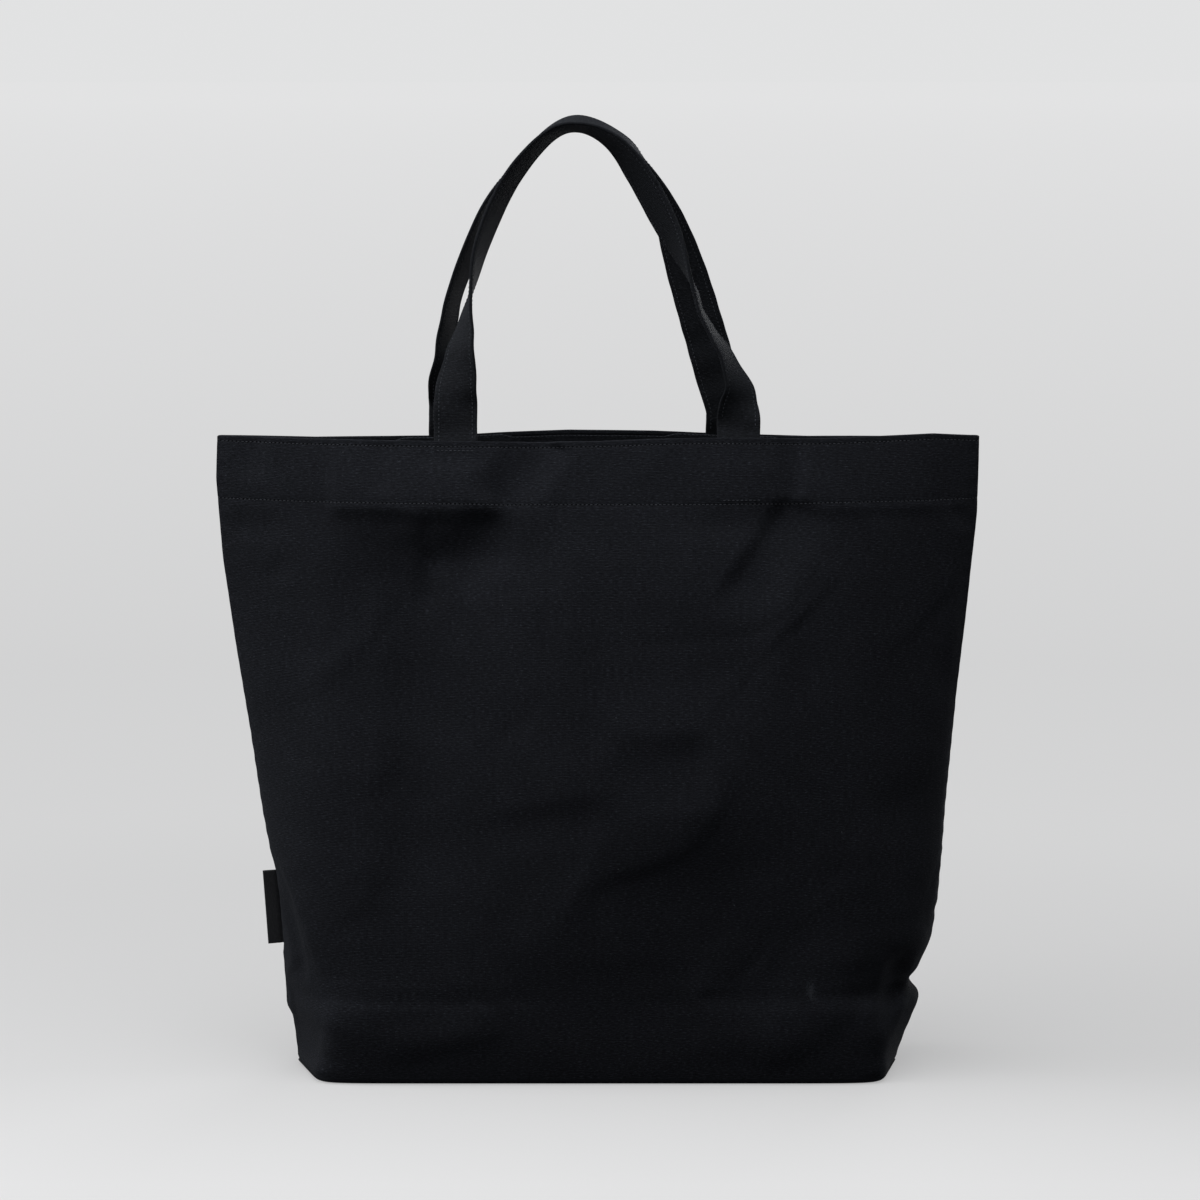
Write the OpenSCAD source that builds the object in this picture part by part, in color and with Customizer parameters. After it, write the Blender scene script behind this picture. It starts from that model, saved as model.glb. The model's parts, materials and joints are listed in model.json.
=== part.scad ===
// Canvas tote bag with a boxed base and two sewn-in straps.
// Millimetres, +Z up, origin on the floor at the middle of the base, front of the bag towards -Y.
// The cloth doesn't stretch: at every height the girth of the body is twice flat_w, less what
// the folds of the lower corners take up, and the width of the body follows from its depth there.

/* [Body] */
// Width of the bag laid flat, from side seam to side seam
flat_w = 536; // [440:2:620]
// Height of the standing bag, from the floor to the rim
bag_h = 447; // [380:1:520]
// Depth of the boxed base, front to back
base_d = 128; // [90:2:150]
// Depth of the bag where it is fullest, front to back
belly_d = 144; // [120:2:170]
// Height at which the bag is fullest
belly_z = 190; // [150:5:230]
// Opening of the mouth at its middle, front to back
mouth_d = 80; // [60:2:110]
// Radius of the soft edge round the base
edge_r = 8; // [5:1:12]
// Cloth that the folds take up in each lower corner, at the floor
tuck = 18; // [10:1:24]
// How far each front and back corner of the base stands in from the side seam
gusset_in = 25; // [15:1:32]
// How far the body leans to the right at the height of the label
lean = 7; // [0:1:10]

/* [Cloth] */
// Thickness of the canvas
cloth_t = 1; // [0.8:0.1:1.3]
// Depth of the facing inside the rim
facing_h = 44; // [34:1:56]
// Depth of the seam allowances inside the bag
allowance = 10; // [9:1:13]
// Thickness of the tape that binds the allowances
tape_t = 0.4; // [0.3:0.1:0.6]
// How far the binding tape reaches over an allowance
tape_w = 5.6; // [4.5:0.1:6.5]

/* [Handles] */
// Width of the strap
strap_w = 30; // [24:1:36]
// Thickness of the strap, four plies of canvas
strap_t = 3; // [2.4:0.2:3.6]
// Distance between the two legs of a handle
leg_span = 195; // [160:5:230]
// Height of the middle of the strap at the top of a handle, above the rim
handle_rise = 214; // [180:2:260]
// How far the strap stands out of the rim before it can swing
root_h = 12; // [10:1:16]
// Sideways offset of the back handle against the front one
back_shift = -6; // [-8:1:8]
// Distance from the middle plane of the bag to the middle of the strap at the top of a handle
top_y = 15.4; // [15.4:0.2:22]

/* [Label] */
// Height of the side label
label_h = 51; // [36:1:60]
// How far the label stands out of the seam
label_w = 10.5; // [8:0.5:16]
// Thickness of the label, two plies of woven tape
label_t = 1.2; // [1:0.1:1.6]
// Height of the lower end of the label above the floor
label_z = 87; // [60:1:160]

/* [Hidden] */

canvas = "#1b1c20";
lining_side = "#1f2024";
tape_black = "#141518";
label_black = "#101114";

// Gap between layers of cloth that lie on each other, and between the label and its seam
fit = 0.25;
label_gap = 0.5;
// Break in the strap at the crease where a handle folds over the rim
crease = 0.8;
// Samples round half of the girth, and rows up the wall
around = 36;
wall_rows = 13;
// Corner form of the body's cross-section: base_p and base_q make a box, mouth_p and 1 a lens,
// and the box fades into the lens up the wall by these powers
base_p = 14;
base_q = 0.08;
mouth_p = 2.4;
fade_p = 4;
fade_q = 2;
tuck_p = 3;
// Heights between which the slanted ends of the boxed base close up into the side seams
gusset_z0 = 70;
gusset_z1 = 160;
// Height at which the body is upright again
lean_z = 345;
hinge_z = bag_h + root_h;
// Seam tape: outside thickness of the tape round two plies, and gap to the end of the base seam
bound_t = 2 * (cloth_t + tape_t);
seam_step = 2;

// ---------- cross-section of the body ----------

function mix(a, b, w) = a + (b - a) * w;

// Half depth of the body at height z
function depth_at(z) = z < belly_z
    ? mix(base_d, belly_d, sin(90 * z / belly_z)) / 2
    : mix(mouth_d, belly_d, cos(90 * (z - belly_z) / (bag_h - belly_z))) / 2;

// Exponents of the outline |x/s|^p + (|y|/b)^(1/q) = 1 at height z
function p_at(z) = mix(mouth_p, base_p, pow(1 - z / bag_h, fade_p));
function q_at(z) = mix(1, base_q, pow(1 - z / bag_h, fade_q));

function clamp(x) = min(1, max(0, x));

// Share of the half width by which the front of the outline is narrower than its seams
function slant_at(z) = gusset_in / (flat_w / 2 - tuck - base_d / 2 + gusset_in)
    * clamp((gusset_z1 - z) / (gusset_z1 - gusset_z0));

// Sideways lean of the body at height z
function lean_at(z) =
    lean * pow(sin(180 * pow(clamp((z - edge_r) / (lean_z - edge_r)), 0.7)), 2);

// Point of the front half of the outline at angle a: 0 at the right seam, 180 at the left
function outline(s, b, p, q, slant, a) =
    let (in = pow(sin(a), 2 * q))
    [s * sign(cos(a)) * pow(abs(cos(a)), 2 / p) * (1 - slant * in), -b * in];

function total(v, i = 0, sum = 0) = i == len(v) ? sum : total(v, i + 1, sum + v[i]);

// Length of the outline from a seam to the middle of the front
function quarter_girth(s, b, p, q, slant) = total([for (i = [0 : around / 2 - 1])
    norm(outline(s, b, p, q, slant, 180 * (i + 1) / around)
        - outline(s, b, p, q, slant, 180 * i / around))]);

// Half width that gives the body its girth, by halving the interval
function solve_width(b, p, q, slant, girth, low, high, steps) =
    let (middle = (low + high) / 2)
    steps == 0 ? middle
        : quarter_girth(middle, b, p, q, slant) > girth
            ? solve_width(b, p, q, slant, girth, low, middle, steps - 1)
            : solve_width(b, p, q, slant, girth, middle, high, steps - 1);

function width_at(z) = solve_width(depth_at(z), p_at(z), q_at(z), slant_at(z),
    flat_w / 2 - tuck * pow(1 - z / bag_h, tuck_p), flat_w / 4, flat_w / 2, 18);

// Thickness of the wall where it meets the seam plane, cut at a slant
function seam_t(s, b, p, q, slant) = cloth_t * sqrt(1 + pow(s / b * (slant + q * q / p), 2));

// [half width, half depth, p, q, wall at the seam, z, slant] of the body at height z
function section(z) =
    let (s = width_at(z), b = depth_at(z), p = p_at(z), q = q_at(z), slant = slant_at(z))
    [s, b, p, q, seam_t(s, b, p, q, slant), z, slant];

// Point of a layer of cloth, k plies in from the outside of the body
function layer_point(row, k, a) =
    outline(row[0] - row[4] * k, row[1] - cloth_t * k, row[2], row[3], row[6], a)
        + [lean_at(row[5]), 0];

foot = section(edge_r);
wall = [for (j = [0 : wall_rows]) section(mix(edge_r, bag_h, j / wall_rows))];

// ---------- the two panels ----------

// Rows of a panel, from the bottom seam out to the edge of the base and up to the rim.
// Each row is [outside points, inside points].
function base_row(in) = [for (side = [0, 1])
    [for (i = [0 : around])
        let (o = outline(foot[0] - in, foot[1] - in, foot[2], foot[3], foot[6],
            180 * i / around))
        [o[0], o[1], side * cloth_t]]];

function edge_row(turn) = [for (side = [0, 1])
    let (in = (edge_r - side * cloth_t) * (1 - sin(turn)),
        up = edge_r - (edge_r - side * cloth_t) * cos(turn))
    [for (i = [0 : around])
        let (o = outline(foot[0] - side * foot[4] - in, foot[1] - side * cloth_t - in,
            foot[2], foot[3], foot[6], 180 * i / around))
        [o[0], o[1], up]]];

function wall_row(row) = [for (side = [0, 1])
    [for (i = [0 : around])
        let (o = layer_point(row, side, 180 * i / around))
        [o[0], o[1], row[5]]]];

panel_rows = concat(
    [base_row(foot[1]), base_row(foot[1] / 2)],
    [for (turn = [0 : 30 : 60]) edge_row(turn)],
    [for (row = wall) wall_row(row)]);

// Solid between the outside and inside points of a stack of rows
module cloth(rows) {
    n = len(rows[0][0]);
    m = len(rows);
    function at(side, j, i) = (side * m + j) * n + i;
    points = [for (side = [0, 1]) for (row = rows) for (p = row[side]) p];
    // Each cell is cut towards the middle of the row, so both halves of a row match
    function cell(side, j, i) =
        let (a = at(side, j, i), b = at(side, j + 1, i),
            c = at(side, j + 1, i + 1), d = at(side, j, i + 1))
        2 * i < n - 1 ? [[a, c, b], [a, d, c]] : [[a, d, b], [b, d, c]];
    function turned(tri) = [tri[0], tri[2], tri[1]];
    faces = concat(
        [for (j = [0 : m - 2]) for (i = [0 : n - 2]) for (tri = cell(0, j, i)) tri],
        [for (j = [0 : m - 2]) for (i = [0 : n - 2]) for (tri = cell(1, j, i)) turned(tri)],
        [for (j = [0 : m - 2]) for (i = [0, n - 1]) for (half = [0, 1])
            let (tri = half == 0 ? [at(0, j, i), at(1, j + 1, i), at(1, j, i)]
                : [at(0, j, i), at(0, j + 1, i), at(1, j + 1, i)])
            i == 0 ? tri : turned(tri)],
        [for (i = [0 : n - 2]) for (j = [0, m - 1]) for (half = [0, 1])
            let (tri = half == 0 ? [at(0, j, i), at(1, j, i + 1), at(0, j, i + 1)]
                : [at(0, j, i), at(1, j, i), at(1, j, i + 1)])
            j == 0 ? tri : turned(tri)]);
    polyhedron(points, faces, convexity = 10);
}

// Heights between which the side allowances run, under the facing and over the corner seam
allowance_z0 = edge_r + allowance + seam_step;
allowance_z1 = bag_h - facing_h - seam_step;
side_rows = [for (j = [0 : wall_rows - 1])
    section(mix(allowance_z0, allowance_z1, j / (wall_rows - 1)))];

// A bar up the right side seam, 1, or the left one, -1: its outline in plan at each row
module side_bar(outlines, side) {
    n = len(outlines[0]);
    m = len(outlines);
    points = [for (j = [0 : m - 1]) for (p = outlines[j])
        [p[0] + side * lean_at(side_rows[j][5]), p[1], side_rows[j][5]]];
    faces = concat(
        [[for (i = [0 : n - 1]) i]],
        [[for (i = [n - 1 : -1 : 0]) (m - 1) * n + i]],
        [for (j = [0 : m - 2]) for (i = [0 : n - 1]) for (half = [0, 1])
            let (a = j * n + i, b = j * n + (i + 1) % n, c = b + n, d = a + n)
            half == 0 ? [a, c, b] : [a, d, c]]);
    mirror([side < 0 ? 1 : 0, 0, 0]) polyhedron(points, faces, convexity = 4);
}

// Where an allowance ends, measured from the middle of the bag
function allowance_x(row) = row[0] - row[4] - allowance;

module side_allowance(side) {
    side_bar([for (row = side_rows)
        let (x0 = allowance_x(row), x1 = row[0] - row[4] / 2)
        [[x0, -cloth_t], [x1, -cloth_t], [x1, 0], [x0, 0]]], side);
}

// The seams of the base stand up from it inside: the corner seams along its slanted ends,
// and the bottom seam between them
corner_slope = foot[0] * foot[6] / foot[1];
corner_x = foot[0] - edge_r - 2 * cloth_t - tape_t;
corner_l = base_d / 2 - 2 * edge_r;
bottom_l = corner_x - cloth_t - tape_t - seam_step;
base_fin = allowance - seam_step;

// Plan of the front half of a corner seam, half_t thick to either side of its line
module corner_plan(half_t, side) {
    t = half_t * sqrt(1 + corner_slope * corner_slope);
    back = corner_slope * corner_l;
    polygon([for (p = [[t, 0], [t - back, -corner_l], [-t - back, -corner_l], [-t, 0]])
        [side * (corner_x + p[0]), p[1]]]);
}

module base_allowances() {
    translate([-bottom_l, -cloth_t, cloth_t / 2])
        cube([2 * bottom_l, cloth_t, cloth_t / 2 + base_fin]);
    for (side = [-1, 1])
        translate([0, 0, cloth_t / 2])
            linear_extrude(height = cloth_t / 2 + base_fin)
                corner_plan(cloth_t, side);
}

module panel() {
    union() {
        cloth(panel_rows);
        for (side = [-1, 1]) side_allowance(side);
        base_allowances();
    }
}

// ---------- binding tapes ----------

// Tape folded over both allowances of a side seam
module side_binding(side) {
    y0 = cloth_t;
    y1 = cloth_t + tape_t;
    side_bar([for (row = side_rows)
        let (x0 = allowance_x(row) - tape_t, x1 = allowance_x(row), x2 = x0 + tape_w)
        [[x0, -y1], [x2, -y1], [x2, -y0], [x1, -y0],
            [x1, y0], [x2, y0], [x2, y1], [x0, y1]]], side);
}

fin_top = cloth_t + base_fin;

// Tape folded over the fin of the bottom seam
module bottom_tape() {
    translate([-bottom_l, 0, 0])
        rotate([90, 0, 90])
            linear_extrude(height = 2 * bottom_l)
                difference() {
                    translate([-bound_t / 2, fin_top + tape_t - tape_w])
                        square([bound_t, tape_w]);
                    translate([-cloth_t, fin_top - tape_w])
                        square([2 * cloth_t, tape_w]);
                }
}

// Tape folded over the bent fin of a corner seam
module corner_tape(side) {
    difference() {
        translate([0, 0, fin_top + tape_t - tape_w])
            linear_extrude(height = tape_w) corner_both(bound_t / 2, side);
        translate([0, 0, fin_top - tape_w])
            linear_extrude(height = tape_w) corner_both(cloth_t, side);
    }
}

module corner_both(half_t, side) {
    corner_plan(half_t, side);
    mirror([0, 1, 0]) corner_plan(half_t, side);
}

// ---------- facing inside the rim ----------

// The facing stands off the panel round each strap end, over a width that clears the strap
pocket_depth = strap_t + 3 * fit;
pocket_half = strap_w / 2 + 22;
pocket_ramp = 14;

function pocket(x, shift) = pocket_depth * max([for (side = [-1, 1])
    let (off = abs(x - shift - side * leg_span / 2) - pocket_half)
    min(1, max(0, 1 - off / pocket_ramp))]);

function facing_row(row, shift) = [for (side = [0, 1])
    [for (i = [0 : around])
        let (o = layer_point(row, 1 + fit / cloth_t + side, 180 * i / around))
        [o[0], min(0, o[1] + pocket(o[0], shift)), row[5]]]];

facing_steps = 4;

module facing(shift) {
    cloth([for (j = [0 : facing_steps])
        facing_row(section(bag_h - facing_h * (1 - j / facing_steps)), shift)]);
}

// ---------- straps ----------

// Inside face of the front panel at height z, x from the middle, up to the rim and straight on
function inside_y(x, z) =
    let (row = section(min(z, bag_h)), s = row[0] - row[4], b = row[1] - cloth_t)
    -b * (1 - pow(abs(x) / s, row[2])) + max(0, z - bag_h) * rim_lean;

// Slope of the panel at the rim, from the end of the curve of depth_at
rim_lean = (belly_d - mouth_d) / 2 * PI / 2 / (bag_h - belly_z);

// A handle swings about its outer face, at the crease: [y, z] of that line on the front handle
hinge_y = inside_y(leg_span / 2, hinge_z) + fit;
strap_z0 = bag_h - facing_h + seam_step;
strap_z1 = hinge_z - crease;

// Sewn end of a strap: a plate that lies on the panel, and comes square to the crease above the rim
module strap_end(x_mid) {
    heights = [strap_z0, mix(strap_z0, bag_h, 0.5), bag_h, strap_z1];
    across = 4;
    cloth([for (z = heights) [for (side = [0, 1])
        [for (i = [0 : across])
            let (x = x_mid + strap_w * (0.5 - i / across),
                free = max(0, z - bag_h) / (strap_z1 - bag_h),
                y = mix(inside_y(x, z), inside_y(leg_span / 2, z), free))
            [x, y + fit + side * strap_t, z]]]]);
}

// Run of a handle: [across, up, turn] with across in half spans from the middle, up in rises
// above the hinge line and turn the strap's roll about its own line, 0 flat to the panel
front_run = [
    [-1, 0, 0], [-1, 0.055, 0], [-0.99, 0.14, -24], [-0.945, 0.29, -62], [-0.88, 0.465, -94],
    [-0.8, 0.62, -109], [-0.61, 0.82, -114], [-0.34, 0.97, -110], [-0.12, 1, -108],
    [0.11, 0.945, -113], [0.32, 0.834, -122], [0.51, 0.66, -126], [0.665, 0.459, -90],
    [0.84, 0.28, -72], [0.975, 0.14, -46], [1, 0.055, 0], [1, 0, 0]];
back_run = [
    [-1, 0, 0], [-1, 0.055, 0], [-0.985, 0.186, 32], [-0.955, 0.382, 57], [-0.83, 0.58, 68],
    [-0.655, 0.755, 82], [-0.44, 0.9, 96], [-0.12, 1, 107], [0.2, 0.957, 101],
    [0.396, 0.87, 88], [0.56, 0.7, 54], [0.715, 0.473, 22], [0.875, 0.225, 8], [1, 0, 0]];

// Smooth run through the stations, cut samples to a stretch
function curve(a, b, c, d, t) = ((2 * b) + (c - a) * t + (2 * a - 5 * b + 4 * c - d) * t * t
    + (3 * b - a - 3 * c + d) * t * t * t) / 2;
function smooth_run(run, cuts) =
    let (last = len(run) - 1)
    concat([for (k = [0 : last - 1]) for (c = [0 : cuts - 1])
        curve(run[max(k - 1, 0)], run[k], run[k + 1], run[min(k + 2, last)], c / cuts)],
        [run[last]]);

strap_cuts = 3;
chamfer = 0.6;
strap_outline = [for (e = [[1, 1], [-1, 1], [-1, -1], [1, -1]]) for (corner = [0, 1])
    let (first = e[0] * e[1] > 0 ? 1 - corner : corner)
    [e[0] * (strap_w / 2 - chamfer * (1 - first)), e[1] * (strap_t / 2 - chamfer * first)]];

function unit(v) = v / norm(v);

// side is -1 for the front handle and 1 for the back one
module handle(run, side, shift) {
    stations = smooth_run(run, strap_cuts);
    rise = handle_rise - root_h;
    root_y = -hinge_y - strap_t / 2;
    middle = [for (s = stations)
        [shift + s[0] * leg_span / 2, side * mix(root_y, top_y, s[1]),
            hinge_z + s[1] * rise]];
    last = len(middle) - 1;
    n = len(strap_outline);
    points = [for (k = [0 : last])
        let (along = k == 0 || k == last ? [0, 0, k == 0 ? 1 : -1]
                : unit(middle[k + 1] - middle[k - 1]),
            inward = unit([along[2], 0, -along[0]]),
            turn = stations[k][2],
            flat = inward * cos(turn) + [0, 1, 0] * sin(turn),
            width = unit(flat - along * (flat * along)),
            thick = cross(along, width))
        for (p = strap_outline) middle[k] + width * p[0] + thick * p[1]];
    faces = concat(
        [[for (i = [0 : n - 1]) i]],
        [[for (i = [n - 1 : -1 : 0]) last * n + i]],
        [for (k = [0 : last - 1]) for (i = [0 : n - 1]) for (half = [0, 1])
            let (a = k * n + i, b = k * n + (i + 1) % n, c = b + n, d = a + n)
            half == 0 ? [a, c, b] : [a, d, c]]);
    polyhedron(points, faces, convexity = 10);
}

// ---------- label ----------

label_bead = label_t / 2 + 0.1;
label_x0 = width_at(label_z) - lean_at(label_z);
label_x1 = width_at(label_z + label_h) - lean_at(label_z + label_h);
label_tilt = atan((label_x1 - label_x0) / label_h);
// Woven tape folded in two, with the fold outwards and its foot on the seam
module label() {
    ply = label_t / 2 - 0.1;
    translate([-label_x0 - label_gap - label_bead, 0, label_z])
        rotate([0, -label_tilt, 0])
            difference() {
                union() {
                    cylinder(r = label_bead, h = label_h, $fn = 24);
                    translate([-label_w, -label_t / 2, 0])
                        cube([label_w, label_t, label_h]);
                }
                translate([-label_w + ply, ply - label_t / 2, -1])
                    cube([label_w - ply - 2 * label_bead, label_t - 2 * ply, label_h + 2]);
            }
}

// ---------- nodes ----------

module front_panel() {
    color(canvas) panel();
}

module back_panel() {
    color(canvas) mirror([0, 1, 0]) panel();
}

module front_facing() {
    color(lining_side) facing(0);
}

module back_facing() {
    color(lining_side) mirror([0, 1, 0]) facing(back_shift);
}

module front_handle() {
    color(canvas) handle(front_run, -1, 0);
}

module back_handle() {
    color(canvas) handle(back_run, 1, back_shift);
}

module front_handle_ends() {
    color(canvas) for (leg = [-1, 1]) strap_end(leg * leg_span / 2);
}

module back_handle_ends() {
    color(canvas) mirror([0, 1, 0])
        for (leg = [-1, 1]) strap_end(back_shift + leg * leg_span / 2);
}

module left_side_binding() {
    color(tape_black) side_binding(-1);
}

module right_side_binding() {
    color(tape_black) side_binding(1);
}

module bottom_binding() {
    color(tape_black) bottom_tape();
}

module left_corner_binding() {
    color(tape_black) corner_tape(-1);
}

module right_corner_binding() {
    color(tape_black) corner_tape(1);
}

module side_label() {
    color(label_black) label();
}

front_panel();
back_panel();
front_facing();
back_facing();
front_handle();
back_handle();
front_handle_ends();
back_handle_ends();
left_side_binding();
right_side_binding();
bottom_binding();
left_corner_binding();
right_corner_binding();
side_label();
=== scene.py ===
import json
from math import ceil, cos, hypot, pi, sin, sqrt

import bpy
import numpy as np
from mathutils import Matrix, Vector


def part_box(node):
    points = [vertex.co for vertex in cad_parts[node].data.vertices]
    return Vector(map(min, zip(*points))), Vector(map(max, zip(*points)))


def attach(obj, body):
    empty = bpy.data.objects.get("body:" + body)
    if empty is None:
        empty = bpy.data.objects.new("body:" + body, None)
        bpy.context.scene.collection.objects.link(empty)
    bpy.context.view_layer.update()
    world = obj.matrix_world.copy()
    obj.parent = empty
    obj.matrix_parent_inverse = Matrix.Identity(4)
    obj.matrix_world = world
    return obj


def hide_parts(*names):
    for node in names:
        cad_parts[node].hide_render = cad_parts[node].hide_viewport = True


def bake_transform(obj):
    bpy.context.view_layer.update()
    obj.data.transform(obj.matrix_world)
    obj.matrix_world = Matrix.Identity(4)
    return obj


# A black canvas tote bag, built in mesh code round the CAD frame.
# Lengths are in millimetres up to Parts.make(), which writes metres.

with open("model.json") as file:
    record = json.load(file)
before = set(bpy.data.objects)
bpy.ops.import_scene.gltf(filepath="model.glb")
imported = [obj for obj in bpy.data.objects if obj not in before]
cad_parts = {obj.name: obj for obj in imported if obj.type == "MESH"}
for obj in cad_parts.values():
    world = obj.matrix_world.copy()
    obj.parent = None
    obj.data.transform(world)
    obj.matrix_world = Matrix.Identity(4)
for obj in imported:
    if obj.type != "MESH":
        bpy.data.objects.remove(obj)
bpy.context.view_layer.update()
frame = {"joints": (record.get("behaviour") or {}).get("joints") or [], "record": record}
MM = 0.001

# ---- sizes from the frame

CLOTH, FIT = 1.0, 0.25  # thickness of the canvas, gap between layers
STRAP_W, STRAP_T = 30.0, 3.0
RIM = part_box("front_panel")[1].z / MM
BELLY = -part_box("front_panel")[0].y / MM
FACING_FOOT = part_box("front_facing")[0].z / MM
STRAP_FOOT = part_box("front_handle_ends")[0].z / MM
FRONT_ENDS, BACK_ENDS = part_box("front_handle_ends"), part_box("back_handle_ends")
LEG_X = (FRONT_ENDS[1].x - FRONT_ENDS[0].x) / MM / 2 - STRAP_W / 2
BACK_SHIFT = (BACK_ENDS[1].x + BACK_ENDS[0].x) / MM / 2
JOINT = {j["name"]: j for j in frame["joints"]}
HINGE_Y, HINGE_Z = (abs(JOINT["front_handle_swing"]["pos_m"][i]) / MM for i in (1, 2))
LABEL_FOOT = Vector(JOINT["label_flap"]["pos_m"]) / MM
LABEL_AXIS = Vector(JOINT["label_flap"]["axis"]).normalized()

BASE_HALF, MOUTH_HALF, BELLY_Z = 68.0, 40.0, 190.0
GIRTH = 534.0  # width of a panel's cloth between its side seams
EDGE = 3.6  # radius of the soft edge round the base
ROLL = 1.15  # radius of the fold at the rim
FACING_H = 44.0
STITCH_IN = 3.5  # from a strap's edge to its row of stitches
PITCH, STITCH_SHARE = 2.9, 0.66  # from stitch to stitch, and the share that shows
LABEL_H, LABEL_W, LABEL_T = 52.4, 10.5, 1.2
LABEL_PLY, LABEL_ROOT = 0.5, 0.6  # thickness of its tape, reach into the seam's groove
TOP_ROW, HEM_ROW = RIM - 4, RIM - FACING_H
LEGS = {-1: (-LEG_X, LEG_X), 1: (BACK_SHIFT - LEG_X, BACK_SHIFT + LEG_X)}

# Half width of the standing bag, left and right, by height
LEFT = [(0, 212), (8, 212.8), (19, 214), (35, 216), (41, 219.6), (46, 220.8), (55, 220.6),
        (82, 222.8), (112, 225), (141, 228), (187, 236.4), (245, 245), (299, 253.6),
        (360, 262), (416, 266), (447, 265)]
RIGHT = [(0, 211), (8, 213), (24, 218.6), (40, 225), (49, 228.4), (54, 227), (61.5, 219.8),
         (70, 227.2), (80, 231.2), (86, 234.8), (94, 237), (106, 238.8), (111, 238.6),
         (119, 240.6), (147, 242.4), (183, 244.9), (241, 249.8), (300, 255.8), (339, 260),
         (393, 265.4), (447, 266.6)]

# How far the gusset's ends draw in towards the front and back, by height
SLANT = [(0, 0.085), (8, 0.09), (18, 0.125), (40, 0.15), (57, 0.16), (75, 0.12), (100, 0.07),
         (160, 0)]
RIGHT_SLANT = 0.72  # the right end draws in less

# Folds of a panel as seen from its own front: line, height (below 0 for a crease), reach to the
# line's upper or right side, reach to the other side, share of the line over which each end fades
FRONT_FOLDS = [
    # Under the left strap: a slanting fold through the hem, and the hollow below it
    ([(-34, 450), (-43, 434), (-60, 414), (-74, 396)], -4.4, 15, 20, 0.06, 0.25),
    ([(-74, 404), (-78, 384), (-92, 367), (-112, 352)], -4.4, 22, 16, 0.2, 0.3),
    ([(-122, 400), (-126, 386), (-134, 372)], 1.6, 6, 12, 0.2, 0.4),
    ([(-106, 374), (-118, 362), (-120, 345), (-117, 322)], -3.2, 11, 8, 0.25, 0.4),
    ([(-190, 402), (-150, 403), (-110, 402), (-64, 401)], 3.5, 34, 9, 0.1, 0.12),
    ([(-106, 404), (-110, 340), (-107, 270), (-112, 200), (-122, 90), (-130, 15)], -11.0, 66, 50,
     0.1, 0.42),
    ([(-126, 372), (-126, 290), (-129, 200), (-136, 90)], -3.4, 46, 21, 0.2, 0.3),
    ([(-158, 392), (-157, 330), (-160, 270), (-163, 200), (-168, 110)], -3.4, 50, 25, 0.15, 0.3),
    ([(-146, 448), (-149, 426), (-146, 406)], -1.3, 9, 11, 0.2, 0.3),
    ([(-134, 228), (-148, 205), (-160, 186)], -1.2, 9, 10, 0.35, 0.4),
    ([(-214, 372), (-223, 357), (-232, 342)], -1.0, 10, 5, 0.4, 0.4),
    ([(-236, 450), (-239, 430), (-238, 412)], -1.8, 9, 13, 0.1, 0.4),
    # Under the right strap
    ([(138, 412), (125, 390), (111, 368), (92, 342), (82, 326)], -4.6, 25, 8, 0.12, 0.35),
    ([(139, 450), (138, 428), (136, 404)], -3.2, 6, 15, 0.1, 0.2),
    ([(146, 402), (190, 403), (244, 402)], 1.8, 34, 8, 0.2, 0.2),
    ([(136, 356), (128, 320), (124, 292), (124, 258)], 2.2, 12, 15, 0.3, 0.4),
    ([(240, 398), (264, 386)], -1.8, 7, 8, 0.5, 0.1),
    ([(222, 300), (229, 250), (228, 196)], 1.2, 10, 14, 0.3, 0.3),
    # Middle
    ([(2, 233), (40, 226), (84, 233)], -3.2, 16, 26, 0.35, 0.2),
    ([(-84, 170), (-46, 184), (-4, 191), (26, 189)], -1.7, 11, 15, 0.3, 0.3),
    ([(-13, 96), (-11, 132), (3, 150), (38, 162), (66, 178), (86, 212), (90, 244)],
     2.0, 26, 9, 0.3, 0.3),
    ([(-50, 46), (124, 286)], 5.2, 75, 52, 0.35, 0.4),
    # Towards the floor
    ([(193, 122), (174, 88), (161, 56), (136, 36), (100, 18)], 2.6, 16, 30, 0.3, 0.25),
    ([(150, 128), (126, 84), (108, 60), (78, 40)], -1.6, 18, 20, 0.3, 0.4),
    ([(213, 220), (210, 160), (207, 108)], -2.4, 16, 16, 0.3, 0.3),
    ([(216, 96), (212, 74), (207, 54), (197, 30)], -5.0, 6, 11, 0.25, 0.35),
    ([(-186, 60), (-121, 59), (-78, 59), (-30, 61)], -0.8, 8, 5, 0.1, 0.4),
    ([(10, 60), (60, 60), (150, 62), (205, 64)], -0.6, 6, 8, 0.3, 0.1),
    ([(-160, 22), (-112, 32), (-84, 41), (-56, 48)], 1.2, 13, 10, 0.3, 0.35),
    ([(-222, 153), (-213, 134), (-202, 108), (-196, 88), (-190, 66), (-186, 54)], 1.7, 14, 3.2, 0.1,
     0.4),
    ([(-222, 132), (-213, 104), (-208, 84), (-205, 58)], -2.6, 5, 5, 0.3, 0.3),
    ([(-181, 62), (-184, 42), (-189, 14)], 1.2, 9, 6, 0.15, 0.2),
]
FRONT_DENTS = [  # x, z, reach in x, reach in z, height
    (-250, 383, 9, 9, -1.8), (88, 388, 34, 10, -1.6), (122, 396, 12, 9, -1.6),
    (-40, 320, 70, 70, 1.8), (70, 110, 90, 60, -3.0), (-130, 120, 70, 50, 1.6),
    (-168, 330, 50, 60, -1.6), (190, 310, 110, 115, 5.5), (-228, 384, 10, 8, -0.8),
    (-142, 370, 15, 13, 1.3),
]
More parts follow.
